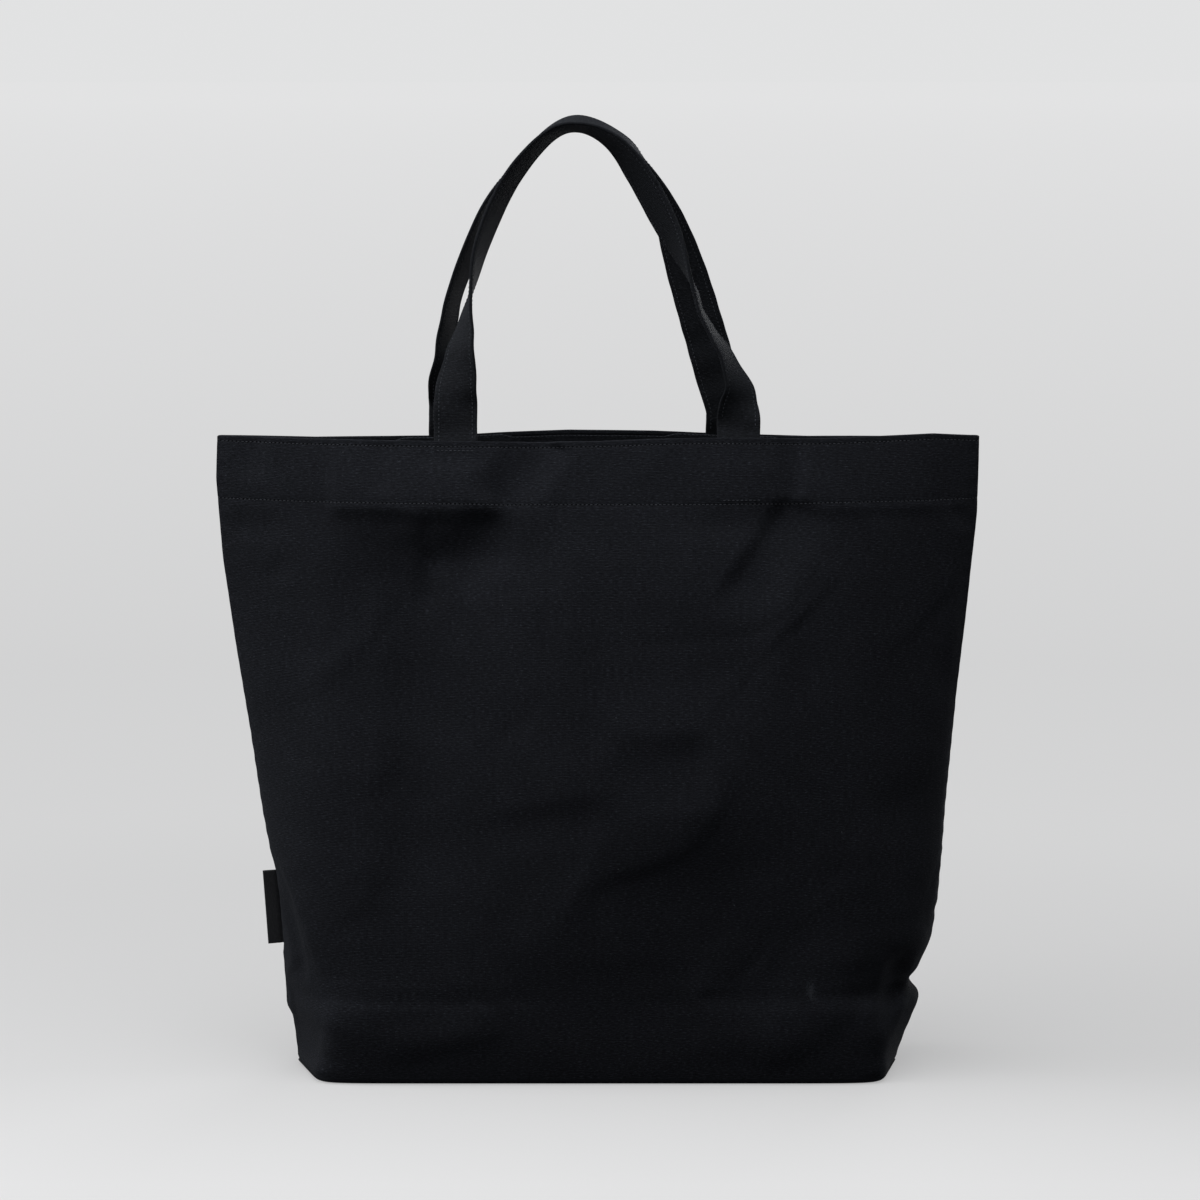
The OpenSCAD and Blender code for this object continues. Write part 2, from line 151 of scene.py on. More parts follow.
BACK_FOLDS = [
    ([(62, 446), (70, 420), (84, 398), (92, 372)], -3.0, 12, 14, 0.2, 0.4),
    ([(118, 402), (170, 402), (205, 400)], 1.8, 22, 6, 0.3, 0.4),
    ([(-140, 406), (-122, 374), (-96, 338)], -3.0, 8, 9, 0.2, 0.5),
    ([(-206, 372), (-222, 336)], -1.4, 7, 6, 0.4, 0.4),
    ([(40, 330), (24, 262)], 1.2, 16, 18, 0.4, 0.4),
    ([(-78, 214), (-20, 190), (38, 196)], -1.4, 12, 9, 0.4, 0.4),
    ([(-196, 60), (-90, 59), (40, 61), (203, 60)], -1.4, 6, 4, 0.1, 0.1),
    ([(150, 116), (112, 70), (70, 18)], 2.6, 22, 30, 0.35, 0.25),
    ([(-168, 108), (-128, 66), (-104, 20)], 2.2, 26, 20, 0.35, 0.25),
    ([(206, 90), (208, 70), (202, 40)], -3.0, 5, 7, 0.3, 0.35),
    ([(-214, 144), (-204, 108), (-196, 70)], 1.3, 5, 4, 0.2, 0.3),
]
BACK_DENTS = [
    (80, 376, 34, 15, -3.8), (-128, 398, 14, 10, -2.0), (60, 270, 90, 70, 2.0),
    (-80, 300, 60, 60, -1.4), (170, 220, 55, 80, -1.4), (-20, 112, 90, 44, -1.6),
    (-180, 230, 50, 70, 1.2),
]


def smooth(t):
    t = np.clip(t, 0, 1)
    return t * t * (3 - 2 * t)


def mix(a, b, w):
    return a + (b - a) * w


def bell(off, reach):
    return np.exp(-(off / reach) ** 2)


def bell_weights(sigma, reach):
    weights = np.exp(-0.5 * (np.arange(-reach, reach + 1) / sigma) ** 2)
    return weights / weights.sum()


def unit(v):
    return v / np.linalg.norm(v, axis=-1, keepdims=True)


def run_length(line):
    """Distance along a line of points from its start to each of them."""
    return np.append(0, np.cumsum(np.linalg.norm(np.diff(line, axis=0), axis=1)))


def sample(at, far, data):
    """Rows of data at places along a line whose points lie at the distances far."""
    return np.stack([np.interp(at, far, column) for column in data.T], -1)


def between(table, v):
    """Index of the entry of a rising table below v, and v's share of the step to the next."""
    k = np.clip(np.searchsorted(table, v) - 1, 0, len(table) - 2)
    return k, (v - table[k]) / (table[k + 1] - table[k])


def smooth_run(run, cuts):
    """A smooth curve through the rows of a run, with so many steps from row to row."""
    run = np.array(run, float)
    out = []
    for k in range(len(run) - 1):
        a, b, c, d = (run[min(max(k + i, 0), len(run) - 1)] for i in (-1, 0, 1, 2))
        for t in np.arange(cuts) / cuts:
            out.append((2 * b + (c - a) * t + (2 * a - 5 * b + 4 * c - d) * t * t
                        + (3 * b - a - 3 * c + d) * t ** 3) / 2)
    return np.array(out + [run[-1]])


# ---- the body's surface

def edge_curve(table):
    """Heights at 1 mm steps and the table's half widths there, corners softened."""
    z = np.arange(-20, RIM + 21, 1.0)
    padded = np.pad(np.interp(z, *zip(*table)), 6, mode="edge")
    return z, np.convolve(padded, bell_weights(1.8, 6), mode="valid")


LEFT_CURVE, RIGHT_CURVE = edge_curve(LEFT), edge_curve(RIGHT)


def half_depth(v):
    """Half depth of the bag at its middle, at height v."""
    low = mix(BASE_HALF, BELLY, np.sin(pi / 2 * np.clip(v / BELLY_Z, 0, 1)))
    up = np.cos(pi / 2 * np.clip((v - BELLY_Z) / (RIM - BELLY_Z), 0, 1))
    return np.where(v < BELLY_Z, low, mix(MOUTH_HALF, BELLY, up))


# Places across a panel as shares of its girth, close together near both seams
NEAR_SEAM = np.array([0, 0.5, 1.1, 1.8, 2.6, 3.6, 5, 6.8, 9, 11.5])
ACROSS = np.array([*NEAR_SEAM, *np.linspace(14.2, GIRTH - 14.2, 172),
                   *(GIRTH - NEAR_SEAM[::-1])]) / GIRTH
FINE = 720  # steps round half of the girth while the outline is worked out
ANGLES, SHARES = np.linspace(0, pi, FINE + 1), np.linspace(0, 1, FINE + 1)


def outline(v, ply):
    """x and y of the front half of the body at height v, ply plies in, at ACROSS."""
    t = 1 - min(max(v / RIM, 0), 1)
    t = mix(t, 1, 0.9 * smooth((76 - v) / 42))
    p, q = mix(2.7, 14, t ** 4), mix(1, 0.055, t ** 2)
    slant = float(np.interp(v, *zip(*SLANT)))
    depth = float(half_depth(v)) - 3 * max(0, 1 - v / 38) ** 2
    cut = CLOTH * sqrt(1 + (240 / depth * (slant + q * q / p)) ** 2)
    left, right = (float(np.interp(v, *c)) - ply * cut for c in (LEFT_CURVE, RIGHT_CURVE))
    b = depth - ply * CLOTH
    c = np.cos(ANGLES)
    out = np.abs(np.sin(ANGLES)) ** (2 * q)
    out[0] = out[-1] = 0
    drawn = np.where(c > 0, RIGHT_SLANT, 1) * slant * out
    x = np.where(c > 0, right, left) * np.sign(c) * np.abs(c) ** (2 / p) * (1 - drawn)
    line = np.stack([x, -b * out], -1)
    for _ in range(2):
        far = run_length(line)
        line = sample(SHARES, far / far[-1], line)
    # Soften the corners, with each end held by its own mirror point
    sigma = mix(2.0, 2.8, smooth((150 - v) / 110)) / far[-1] * FINE
    reach = int(3 * sigma) + 1
    held = np.concatenate([2 * line[0] - line[reach:0:-1], line,
                           2 * line[-1] - line[-2:-reach - 2:-1]])
    weights = bell_weights(sigma, reach)
    return [np.interp(ACROSS, SHARES, np.convolve(side, weights, mode="valid"))
            for side in held.T]


BASE_SHARES = [0, 0.15, 0.3, 0.45, 0.6, 0.75, 0.88]
TURNS = np.radians([0, 18, 36, 54, 72])


def wall_heights():
    """Heights of the wall's rows, closer together where the cloth has more shape."""
    steps = [(EDGE, 1.5), (14, 3), (48, 1.6), (74, 3), (396, 1.4), (RIM - 42, 2.4), (RIM - 8, 0.9)]
    rows = []
    for (z, step), (end, _) in zip(steps, steps[1:] + [(RIM - ROLL, 0)]):
        n = max(1, round((end - z) / step))
        rows += [z + (end - z) * i / n for i in range(n)]
    return np.array(rows + [RIM - ROLL])


HEIGHTS = wall_heights()
FLOOR_ROWS = len(BASE_SHARES) + len(TURNS)


def layer(ply):
    """Grid of points of a ply before its folds: rows from the bottom seam out and up."""
    foot, r = outline(EDGE, ply), EDGE - ply
    floor = [(mix(BASE_HALF, r, share), ply) for share in BASE_SHARES]
    floor += [(r * (1 - sin(turn)), EDGE - r * cos(turn)) for turn in TURNS]
    rows = [(foot[0] * (1 - inset / LEFT[0][1]), foot[1] * (1 - inset / BASE_HALF), z)
            for inset, z in floor] + [(*outline(v, ply), v) for v in HEIGHTS]
    return np.array([np.stack(np.broadcast_arrays(*row), -1) for row in rows])


def along(points, x, z):
    """Distance from a line of points, above 0 on its upper or right side, and place along it."""
    pts = smooth_run(points, 6) if len(points) > 2 else np.array(points, float)
    start = run_length(pts)
    best = np.full(x.shape, 1e9)
    side, place = np.ones(x.shape), np.zeros(x.shape)
    for k, step in enumerate(np.diff(start)):
        d = (pts[k + 1] - pts[k]) / step
        rx, rz = x - pts[k, 0], z - pts[k, 1]
        t = np.clip(rx * d[0] + rz * d[1], 0, step)
        off = np.hypot(rx - t * d[0], rz - t * d[1])
        nearer = off < best
        best = np.where(nearer, off, best)
        side = np.where(nearer, np.sign(d[0] * rz - d[1] * rx), side)
        place = np.where(nearer, (start[k] + t) / start[-1], place)
    return best * side, place


def relief(x, z, u, side):
    """How far the cloth stands out of its plain shape: folds, dents, seams, hem and slack."""
    folds, dents = (FRONT_FOLDS, FRONT_DENTS) if side < 0 else (BACK_FOLDS, BACK_DENTS)
    seen_x = x if side < 0 else -x
    h = np.zeros(x.shape)
    for points, height, plus, minus, fade_in, fade_out in folds:
        d, place = along(points, seen_x, z)
        wide = np.where(d > 0, plus, minus)
        ends = smooth(place / fade_in) * smooth((1 - place) / fade_out)
        h += height * (1 - np.minimum(np.abs(d) / (1.5 * wide), 1) ** 2) ** 2 * ends
    for cx, cz, rx, rz, height in dents:
        h += height * bell(seen_x - cx, rx) * bell(z - cz, rz)
    # Slack of the cloth at many sizes, less of it in the stiffer hem
    slack = np.zeros(x.shape)
    rng = np.random.default_rng(11 + side)
    bend_u, bend_z = u, z
    for wave in (170, 120, 84, 60, 43, 31, 22):
        for _ in range(3):
            turn, phase = rng.uniform(0, pi), rng.uniform(0, 2 * pi)
            swing = np.sin(2 * pi / wave * (
                bend_u * cos(turn) + bend_z * sin(turn)) + phase)
            slack += (0.0026 if wave > 80 else 0.0010) * wave * swing
            bend_u = bend_u + 0.11 * wave * np.cos(2 * pi / wave * (
                bend_z * cos(turn) - bend_u * sin(turn)) + phase)
    h += slack * mix(1, 0.45, smooth((z - 398) / 8)) * smooth((z - 10) / 30)
    from_seam = np.minimum(u, u[:, -1:] - u)
    h *= mix(0.25, 1, smooth(from_seam / 16)) * smooth((z - 4) / 14)
    # Nothing pushes the rim where a strap comes out of it
    for leg in LEGS[side]:
        hold = smooth((34 - np.abs(x - leg)) / 15) * smooth((z - 424) / 16)
        h *= 1 - hold
        h += 0.35 * smooth((17 - np.abs(x - leg)) / 3) * smooth((z - STRAP_FOOT + 2) / 4)
    # Hem: a groove at each row of stitches, the cloth a little full between them
    h -= 0.32 * bell(z - HEM_ROW, 1.5) + 0.25 * bell(z - TOP_ROW, 1.3)
    h += 0.35 * np.sin(pi * np.clip((z - HEM_ROW) / 40, 0, 1))
    pucker = np.sin(2 * pi * u / 8.7 + 1.3 * np.sin(u / 23)) * 0.09
    h += pucker * (bell(z - HEM_ROW + 3.5, 4) + bell(z - TOP_ROW + 3, 3))
    # Side seam: rolled in, puckered beside it
    h -= 0.9 * np.clip(1 - from_seam / 2.4, 0, 1) ** 2
    h += 0.22 * np.sin(2 * pi * z / 12.5 + side) * bell(from_seam - 5, 4.5)
    # Room beside the label, which swings close to the cloth
    up = np.clip((z - LABEL_FOOT.z) / LABEL_H, 0, 1)
    beside = (1 - smooth((from_seam - 2.5) / 8)) * (x < 0)
    room = 0.74 + 1.55 * up ** 1.6 if side < 0 else 1.1 + 1.35 * up ** 1.6
    h -= room * beside * smooth((z - 79) / 7) * smooth((149 - z) / 9)
    # Corner seam of the base, across the slanted end
    return h - np.where(np.abs(x) > 188, 0.7, 0) * bell(z - EDGE, 1.6)


def rim_drop(x, side):
    """How far the rim's line stands above or below the plain height."""
    if side < 0:
        return np.interp(x, [-265, -140, -60, 0, 35, 75, 110, 160, 235, 265],
                         [0.0, -0.9, -1.2, -0.8, 0.6, 1.5, 0.9, 0.4, 2.2, 0.0])
    return np.interp(x, [-265, -200, -110, -60, -20, 40, 90, 150, 225, 265],
                     [0.0, -3.0, -3.6, -1.2, 0.3, -0.4, -2.4, -3.4, -2.0, 0.0])


class Panel:
    """One panel's surface: points and inward steps on a grid of rows and places across."""

    def __init__(self, side):
        self.side = side
        outer, inner = layer(0), layer(1)
        girth = np.linalg.norm(np.diff(outer, axis=1), axis=2)
        u = np.pad(np.cumsum(girth, 1), ((0, 0), (1, 0)))
        normal = unit(np.cross(np.gradient(outer, axis=0), np.gradient(outer, axis=1)))
        rise = relief(outer[..., 0], outer[..., 2], u, side)
        rise[:FLOOR_ROWS] = 0
        drop = rim_drop(outer[..., 0], side) * smooth((outer[..., 2] - 400) / 47)
        self.inward = inner - outer
        if side > 0:
            for grid in (outer, normal, self.inward):
                grid[..., 1] *= -1
        self.normal = normal
        self.points = outer + normal * rise[..., None]
        self.points[..., 2] += drop

    def row(self, v):
        """Index and share of the wall row at height v."""
        k, t = between(HEIGHTS, v)
        return FLOOR_ROWS + k, t

    def line(self, v, ply=0.0):
        """The whole row across the panel at height v, ply plies in."""
        j, t = self.row(v)
        return mix(*(self.points[j:j + 2] + ply * self.inward[j:j + 2]), t)

    def at(self, x, v, ply=0.0):
        """Point at places x along the row at height v."""
        line = self.line(v, ply)[::-1]
        return sample(x, line[:, 0], line)


def near_leg(panel, half=33, ramp=12):
    """Along the rim: 1 within half of a strap's middle, falling to 0 over ramp."""
    off = np.min([np.abs(panel.points[-1, :, 0] - leg) for leg in LEGS[panel.side]], axis=0)
    return smooth(1 - (off - half) / ramp)


# ---- mesh pieces

def grid_faces(rows, cols):
    """Faces between the rows of a grid, with its last row joined to the first."""
    faces = []
    for j in range(rows):
        a, b = j * cols, (j + 1) % rows * cols
        faces += [[a + i, b + i, b + i + 1, a + i + 1] for i in range(cols - 1)]
    return faces


def end_faces(up, rows, cols):
    """Faces across both ends of a grid that runs up so many rows, turns and comes down again."""
    faces = []
    for i in (0, cols - 1):
        strip = [[j * cols + i, (j + 1) * cols + i, (rows - 2 - j) * cols + i,
                  (rows - 1 - j) * cols + i] for j in range(up - 1)]
        if rows > 2 * up:
            strip.append([k * cols + i for k in range(up - 1, rows - up + 1)])
        faces += strip if i else [face[::-1] for face in strip]
    return faces


def ring_faces(rings, n, start=0):
    """Faces of a tube through rings of n points, both ends closed."""
    faces = []
    for j in range(rings - 1):
        a = start + j * n
        faces += [[a + i, a + n + i, a + n + (i + 1) % n, a + (i + 1) % n] for i in range(n)]
    last = start + (rings - 1) * n
    return faces + [list(range(start, start + n)), list(range(last, last + n))[::-1]]


def placed(name, data):
    """A new object in the scene."""
    thing = bpy.data.objects.new(name, data)
    bpy.context.scene.collection.objects.link(thing)
    return thing


class Parts:
    """Closed bodies that make one piece: points, faces and the points' places in the cloth."""

    def __init__(self):
        self.points, self.faces, self.weave = [], [], []

    def add(self, points, faces, weave):
        """Adds a body, its faces turned to look outwards."""
        start = sum(len(p) for p in self.points)
        points = np.asarray(points, float).reshape(-1, 3)
        fans = [(face[0], *pair) for face in faces for pair in zip(face[1:], face[2:])]
        a, b, c = points[np.array(fans).T]
        way = 1 if (a * np.cross(b, c)).sum() > 0 else -1
        self.points.append(points)
        self.weave.append(np.asarray(weave, float).reshape(-1, 3))
        self.faces += [[i + start for i in face[::way]] for face in faces]
        return self

    def tube(self, rings, marks=None):
        rings = np.asarray(rings, float)
        m, n = rings.shape[:2]
        if marks is None:
            marks = np.zeros((m, n, 3))
            marks[..., 0] = run_length(rings[0])
            marks[..., 1] = run_length(rings.mean(1))[:, None]
        return self.add(rings, ring_faces(m, n), marks)

    def make(self, name, material, slot):
        mesh = bpy.data.meshes.new(name)
        mesh.from_pydata((np.concatenate(self.points) * MM).tolist(), [], self.faces)
        mesh.validate()
        mesh.shade_smooth()
        mark = mesh.attributes.new("weave", "FLOAT_VECTOR", "POINT")
        mark.data.foreach_set("vector", np.concatenate(self.weave).astype(np.float32).ravel())
        mesh.materials.append(material)
        piece = placed(name, mesh)
        return piece


STITCH_ARCH = [  # share of a stitch's length, lift and thickness there in radii of the thread
    (0, -1.0, 0.4), (0.16, 0.25, 0.95), (0.5, 0.6, 1.0), (0.84, 0.25, 0.95), (1, -1.0, 0.4)]
STITCH_TURNS = np.radians([18, 90, 162, 234, 306])


class Thread:
    """Rows of stitches that make one piece, each stitch a short arch that dips at its ends."""

    def __init__(self, radius=0.3):
        self.radius, self.rows = radius, []

    def row(self, line, normals, first=0.0, last=None, far=None):
        """Adds stitches along a line of points, from one distance along it to another."""
        far = run_length(line) if far is None else far
        begin = np.arange(first, (far[-1] if last is None else last) - PITCH, PITCH)
        self.rows.append((sample(begin, far, line), sample(begin + PITCH * STITCH_SHARE, far, line),
                          sample(begin + PITCH / 2, far, normals)))

    def make(self, name, slot):
        starts, ends, normals = (np.concatenate(part) for part in zip(*self.rows))
        step = ends - starts
        across = unit(np.cross(normals, unit(step)))
        up = np.cross(unit(step), across)
        count, sides = len(starts), len(STITCH_TURNS)
        points, marks = np.zeros((2, count, len(STITCH_ARCH), sides, 3))
        marks[..., 0] = np.arange(count)[:, None, None]
        for k, (share, lift, thick) in enumerate(STITCH_ARCH):
            middle = starts + step * share + up * lift * self.radius
            marks[:, k, :, 1] = share * np.linalg.norm(step, axis=1, keepdims=True)
            for i, turn in enumerate(STITCH_TURNS):
                points[:, k, i] = middle + self.radius * thick * (
                    across * cos(turn) + up * sin(turn))
        faces = []
        for s in range(count):
            faces += ring_faces(len(STITCH_ARCH), sides, start=len(STITCH_ARCH) * sides * s)
        return Parts().add(points, faces, marks).make(name, THREAD, slot)


# ---- materials

def tree_of(name):
    material = bpy.data.materials.new(name)
    material.use_nodes = True
    return material, material.node_tree


def feed(socket, value):
    """Sets an input, or links it to the Value or the output that drives it."""
    value = value.socket if isinstance(value, Value) else value
    if isinstance(value, bpy.types.NodeSocket):
        socket.id_data.links.new(value, socket)
    else:
        socket.default_value = value


def add(tree, kind, inputs=(), **settings):
    """A new node with its settings, and its inputs in their order or by name."""
    node = tree.nodes.new(f"ShaderNode{kind}")
    for key, value in settings.items():
        setattr(node, key, value)
    for key, value in (inputs.items() if isinstance(inputs, dict) else enumerate(inputs)):
        feed(node.inputs[key], value)
    return node


class Value:
    """A number in a shader. Arithmetic on it adds the nodes that work it out."""

    def __init__(self, socket):
        self.socket, self.tree = socket, socket.id_data

    def math(self, how, *others):
        return Value(add(self.tree, "Math", (self, *others), operation=how).outputs[0])

    def __add__(self, other):
        return self.math("ADD", other)

    def __sub__(self, other):
        return self.math("SUBTRACT", other)

    def __rsub__(self, other):
        node = add(self.tree, "Math", (other, self), operation="SUBTRACT")
        return Value(node.outputs[0])

    def __mul__(self, other):
        return self.math("MULTIPLY", other)

    def fit(self, gain, offset):
        """gain times this value, plus offset."""
        return self.math("MULTIPLY_ADD", gain, offset)

    def clamped(self):
        self.socket.node.use_clamp = True
        return self


def join(x, y, z=0.0):
    return add(x.tree, "CombineXYZ", (x, y, z)).outputs[0]


def split(vector, kind="SeparateXYZ"):
    return [Value(part) for part in add(vector.id_data, kind, [vector]).outputs]


def scaled(color, share):
    """A colour times a Value."""
    return add(share.tree, "VectorMath", {0: color, "Scale": share},
               operation="SCALE").outputs[0]


def blend_color(share, first, second):
    return add(share.tree, "Mix", {"Factor": share, "A": first, "B": (*second, 1.0)},
               data_type="RGBA").outputs[2]


def noise(vector, scale, detail, rough):
    return Value(add(vector.id_data, "TexNoise", {
        "Vector": vector, "Scale": scale, "Detail": detail, "Roughness": rough}).outputs["Fac"])


def cloth_material(name, color, rib=(0.62, 1.05), lift=0.1, streaks=0.5, mottle=0.25,
                   roughness=0.88, gloss=0.04, flecks=0.0, highlight_spot=None, rows=()):
    """Woven cloth: cross ribs and yarn crossings in the bump, uneven yarns, broad mottle,
    light flecks and a soft sheen. The attribute "weave" holds the cloth's own millimetres,
    u across and v up. rib is the width of a yarn of each kind."""
    material, tree = tree_of(name)
    u, v, _ = split(add(tree, "Attribute", attribute_name="weave").outputs["Vector"])
    # Uneven yarns: long streaks along u and along v, and short dashes
    weft = noise(join(u * 0.42, v * 1.25), 1.0, 3.0, 0.6)
    warp = noise(join(u * 1.25, v * 0.06, 7.0), 1.0, 2.0, 0.5)
    broad = noise(join(u, v, 3.0), 0.022, 3.0, 0.55)
    grain = noise(join(u * 0.32, v * 1.3, 9.0), 1.0, 3.0, 0.7)
    holes = None
    for row in rows:
        # Needle holes in the gaps between a row's stitches: a dip in the bump, and painted shade
        # that darkens their colour
        phase = ((u - (0.5 - 0.17 * PITCH)) * (2 * pi / PITCH)).math("COSINE")
        hole = (1.0 - (v - row).math("ABSOLUTE") * 1.4).clamped() * phase.fit(0.5, 0.5)
        holes = hole if holes is None else holes.math("MAXIMUM", hole)
    # Weave: ribs across, crossed by the other yarns
    ribs = (weft.fit(1.1, v) * (2 * pi / rib[1])).math("SINE")
    cross = (warp.fit(0.7, u) * (2 * pi / rib[0])).math("SINE")
    weave = ribs * cross.fit(0.4, 0.6)
    height = warp.fit(0.9, grain.fit(2.0, weft.fit(1.1, weave)))
    # Colour: yarn streaks, broad mottle, painted shade in the weave's valleys, painted highlights
    # in short dashes
    # Painted highlights: short light dashes where the grain is high
    glint_dashes = ((grain - 0.58) * 6.0).clamped()
    shade = weft.fit(2 * streaks, 1 - streaks) * broad.fit(2 * mottle, 1 - mottle)
    # The weave term is painted shade: darker in the weave's valleys, lighter on its crests
    shade = shade * weave.fit(0.1, 1.0) * warp.fit(0.3, 0.85) * grain.fit(2.6, -0.3)
    shade = shade * glint_dashes.fit(1.1, 0.94)
    if holes is not None:
        height = holes.fit(-5.0, height)
        # Painted shade: the needle holes' colour darkened
        shade = shade * holes.fit(-0.7, 1.0)
    result = scaled(color, shade)
    if flecks:
        cells = add(tree, "TexVoronoi", {"Vector": join(u, v), "Scale": 1 / 26},
                    voronoi_dimensions="2D")
        size, chance, _ = split(cells.outputs["Color"], "SeparateColor")
        spot = Value(cells.outputs["Distance"]).math("LESS_THAN", size * 0.014)
        spot = spot * chance.math("GREATER_THAN", 0.8)
        result = blend_color(spot * flecks, result, (0.16, 0.17, 0.19))
    if highlight_spot:
        # A small painted highlight on the cloth at (u, v), broken up by noise
        cu, cv, size, strength = highlight_spot
        du, dv = u - cu, v - cv
        slope = dv.fit(-0.45, du)
        far = (slope * slope + dv * dv * 0.3).math("SQRT")
        near = (1.0 - far.math("DIVIDE", size)).clamped()
        spot_glint = noise(join(u, v, 5.0), 0.9, 3.0, 0.7) + near * 0.16
        spot_glint = near * spot_glint.math("GREATER_THAN", 0.58)
        result = blend_color(spot_glint * strength, result, (0.10, 0.11, 0.13))
    bump = add(tree, "Bump", {"Strength": 1.0, "Distance": lift * MM, "Height": height})
    shader = tree.nodes["Principled BSDF"]
    feed(shader.inputs["Normal"], bump.outputs["Normal"])
    feed(shader.inputs["Base Color"], result)
    feed(shader.inputs["Roughness"], weft.fit(0.08, broad.fit(0.1, roughness - 0.05)).clamped())
    shader.inputs["Specular IOR Level"].default_value = gloss
    shader.inputs["Sheen Weight"].default_value = 0.025
    shader.inputs["Sheen Roughness"].default_value = 0.45
    shader.inputs["Sheen Tint"].default_value = (0.82, 0.88, 1.0, 1.0)
    return material


RECORD = {m["slot"]: m["base_color"] for m in frame["record"]["materials"]}
COOL = (0.95, 1.0, 1.06)  # the record's colours, a little cooler


def lifted(slot, gain=1.0):
    return tuple(c * gain * cool for c, cool in zip(RECORD[slot], COOL))


# Places on the front panel, such as its painted highlight, are (u, v): u from the right seam, v the
# height
HOLE_ROWS = (TOP_ROW, HEM_ROW)
CANVAS_FRONT = cloth_material("canvas_front", lifted("canvas", 0.92), flecks=0.35,
                              rows=HOLE_ROWS, highlight_spot=(117, 67, 6, 0.25))
CANVAS = cloth_material("canvas", lifted("canvas", 0.92), flecks=0.35, rows=HOLE_ROWS)
LINING = cloth_material("canvas_facing", lifted("facing"), flecks=0.2)
WEBBING = cloth_material("canvas_strap", lifted("strap"), streaks=0.25, mottle=0.08, flecks=0.2)
TAPE = cloth_material("binding_tape", lifted("binding"), rib=(0.5, 0.8), lift=0.05,
                      streaks=0.2, roughness=0.8)
SATIN = cloth_material("label_satin", lifted("label", 1.15), rib=(0.3, 0.36), lift=0.02,
                       streaks=0.15, mottle=0.06, roughness=0.5, gloss=0.12)
THREAD = cloth_material("thread", (0.034, 0.037, 0.044), rib=(0.5, 0.5), lift=0.06, streaks=0.2,
                        mottle=0.1, roughness=0.7, gloss=0.1)

# ---- panels

PANELS = {side: Panel(side) for side in (-1, 1)}
WORD = {-1: "front", 1: "back"}
RIM_TURNS = np.radians([25, 55, 90, 125, 155])


def hold_side(points, side, gap=0.03):
    """Keeps a panel on its own side of the seam plane."""
    points[..., 1] = side * np.maximum(side * points[..., 1], gap)
    return points


def weave_marks(v):
    """Places in the cloth of a grid of heights v, with or without a column for each place."""
    return np.stack(np.broadcast_arrays(GIRTH * ACROSS, v, 0.0), -1)


def cloth_shell(panel):
    """A panel as a closed shell, rolled over the facing at the rim except beside a strap."""
    outer = panel.points
    rows, cols = outer.shape[:2]
    thick = mix(CLOTH, 2 * CLOTH + FIT, 1 - near_leg(panel))
    rim = []
    for turn in RIM_TURNS:
        r = thick / 2
        point = outer[-1] + (r * (1 - cos(turn)))[:, None] * panel.inward[-1]
        point[:, 2] += ROLL - r + r * sin(turn)
        rim.append(point)
    z = np.concatenate([np.zeros(FLOOR_ROWS), HEIGHTS])[:, None]
    wide = 1 + (thick - 1) * smooth((z - RIM + 3.6) / 0.8)
    inner = outer + panel.inward * wide[..., None]
    stack = hold_side(np.concatenate([outer, rim, inner[::-1]]), panel.side)
    m = len(stack)
    low = np.concatenate([-np.linspace(60, 6, FLOOR_ROWS), HEIGHTS])
    up = np.concatenate([low, RIM + np.arange(1, 6) * 0.4, low[::-1]])
    return stack, grid_faces(m, cols) + end_faces(rows, m, cols), weave_marks(up[:, None])


ALLOWANCE, TAPE_T, TAPE_W = 10.0, 0.4, 5.6
BAR_LOW, BAR_HIGH = EDGE + 14, FACING_FOOT - 2
BAR_STEPS = np.linspace(BAR_LOW, BAR_HIGH, int((BAR_HIGH - BAR_LOW) / 6))


def seam_bar(panel, end, plan, heights=BAR_STEPS):
    """Rings up a side seam. The plan gives depths into the bag and offsets from the seam, and
    what lies deeper leans over more."""
    rings = []
    for v in heights:
        seam_x = panel.line(v, 1.0)[0 if end > 0 else -1, 0]
        wave = 0.5 * sin(v / 17 + end)
        rings.append([(seam_x - end * depth, off + wave * (depth / ALLOWANCE) ** 2, v)
                      for depth, off in plan])
    return np.array(rings)


CORNER_SLOPE = 25.0 / 64
CORNER_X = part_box("right_corner_binding")[1].x / MM - 1.5
CORNER_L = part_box("right_corner_binding")[1].y / MM
BOTTOM_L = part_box("bottom_binding")[1].x / MM
FIN_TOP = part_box("bottom_binding")[1].z / MM - TAPE_T
BOTTOM_STEPS = np.linspace(-BOTTOM_L, BOTTOM_L, 60)


def corner_point(t, end, half, z):
    """Point on a corner seam, half to one side of it. t is 0 at the side seam, 1 or -1 at an
    end of the corner seam."""
    y = t * CORNER_L
    x = CORNER_X - CORNER_SLOPE * abs(y) + half * hypot(1, CORNER_SLOPE)
    return end * x, y, z


# Plans of what stands inside a seam: (depth or height, offset from the seam's plane)
PLY_LOW, PLY_HIGH = 0.04, 0.96
ALLOWANCE_PLAN = ([(depth, PLY_LOW) for depth in (0.3, 4, ALLOWANCE)]
                  + [(depth, PLY_HIGH) for depth in (ALLOWANCE, 4, 0.3)])
BOTTOM_PLAN, CORNER_PLAN = (
    [(0.5, low), (FIN_TOP - 0.1, low), (FIN_TOP - 0.1, high), (0.5, high)]
    for low, high in ((PLY_LOW, PLY_HIGH), (-CLOTH, CLOTH)))

